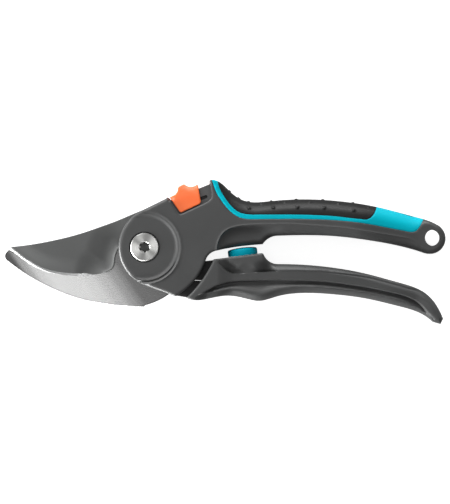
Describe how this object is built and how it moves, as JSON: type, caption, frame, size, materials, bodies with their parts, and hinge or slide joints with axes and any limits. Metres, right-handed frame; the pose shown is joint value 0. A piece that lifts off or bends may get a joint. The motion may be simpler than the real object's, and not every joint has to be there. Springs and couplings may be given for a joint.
{
  "type": "bypass pruner",
  "caption": "Garden hand pruner: a coated cutting blade passes a steel hook, on sprung handles with a thumb catch and a hanging eye.",
  "frame": {"origin": "on the surface that the pruner lies on, under the middle of its outline", "axes": "+X from the blades to the handles, +Y towards the handle that carries the catch, +Z out of the face with the bolt head"},
  "size_m": [0.22, 0.072, 0.02],
  "materials": {
    "dark_nylon": "fine spark-eroded grain, satin",
    "teal_plastic": "satin",
    "teal_rubber": "smooth matt",
    "black_rubber": "matt, soft touch",
    "stainless": "satin ground",
    "coated_steel": "non-stick coating, ground edge",
    "bright_steel": "bright, turned",
    "zinc_steel": "zinc plated",
    "bronze": "sintered",
    "spring_steel": "drawn wire",
    "orange_plastic": "satin"
  },
  "bodies": {
    "upper": {"upper_handle_core": "dark_nylon", "grip_inlay": "teal_plastic", "grip_pad": "black_rubber", "head_back_cover": "dark_nylon", "counter_blade": "stainless", "hook_dowels": "zinc_steel", "pivot_bolt": "bright_steel", "bolt_washer": "bright_steel", "pivot_nut": "zinc_steel", "pivot_bush": "bronze", "blade_washer": "zinc_steel", "spring_washer": "zinc_steel", "return_spring": "spring_steel", "cover_screws": "zinc_steel", "catch_spring": "spring_steel"},
    "lower": {"lower_handle": "dark_nylon", "cutting_blade": "coated_steel", "tang_dowels": "zinc_steel", "bumper": "teal_rubber"},
    "catch": {"catch_saddle": "orange_plastic", "catch_pin": "zinc_steel", "catch_bar": "zinc_steel"}
  },
  "joints": [
    {"name": "pivot", "type": "hinge", "parent": "upper", "child": "lower", "pos_m": [-0.04, 0.00243, 0.01], "axis": [0, 0, -1], "range_deg": [0, 32], "deforming": ["return_spring"]},
    {"name": "catch_slide", "type": "slide", "parent": "upper", "child": "catch", "axis": [0.9265, 0.3762, 0], "range_m": [0, 0.0045]}
  ]
}
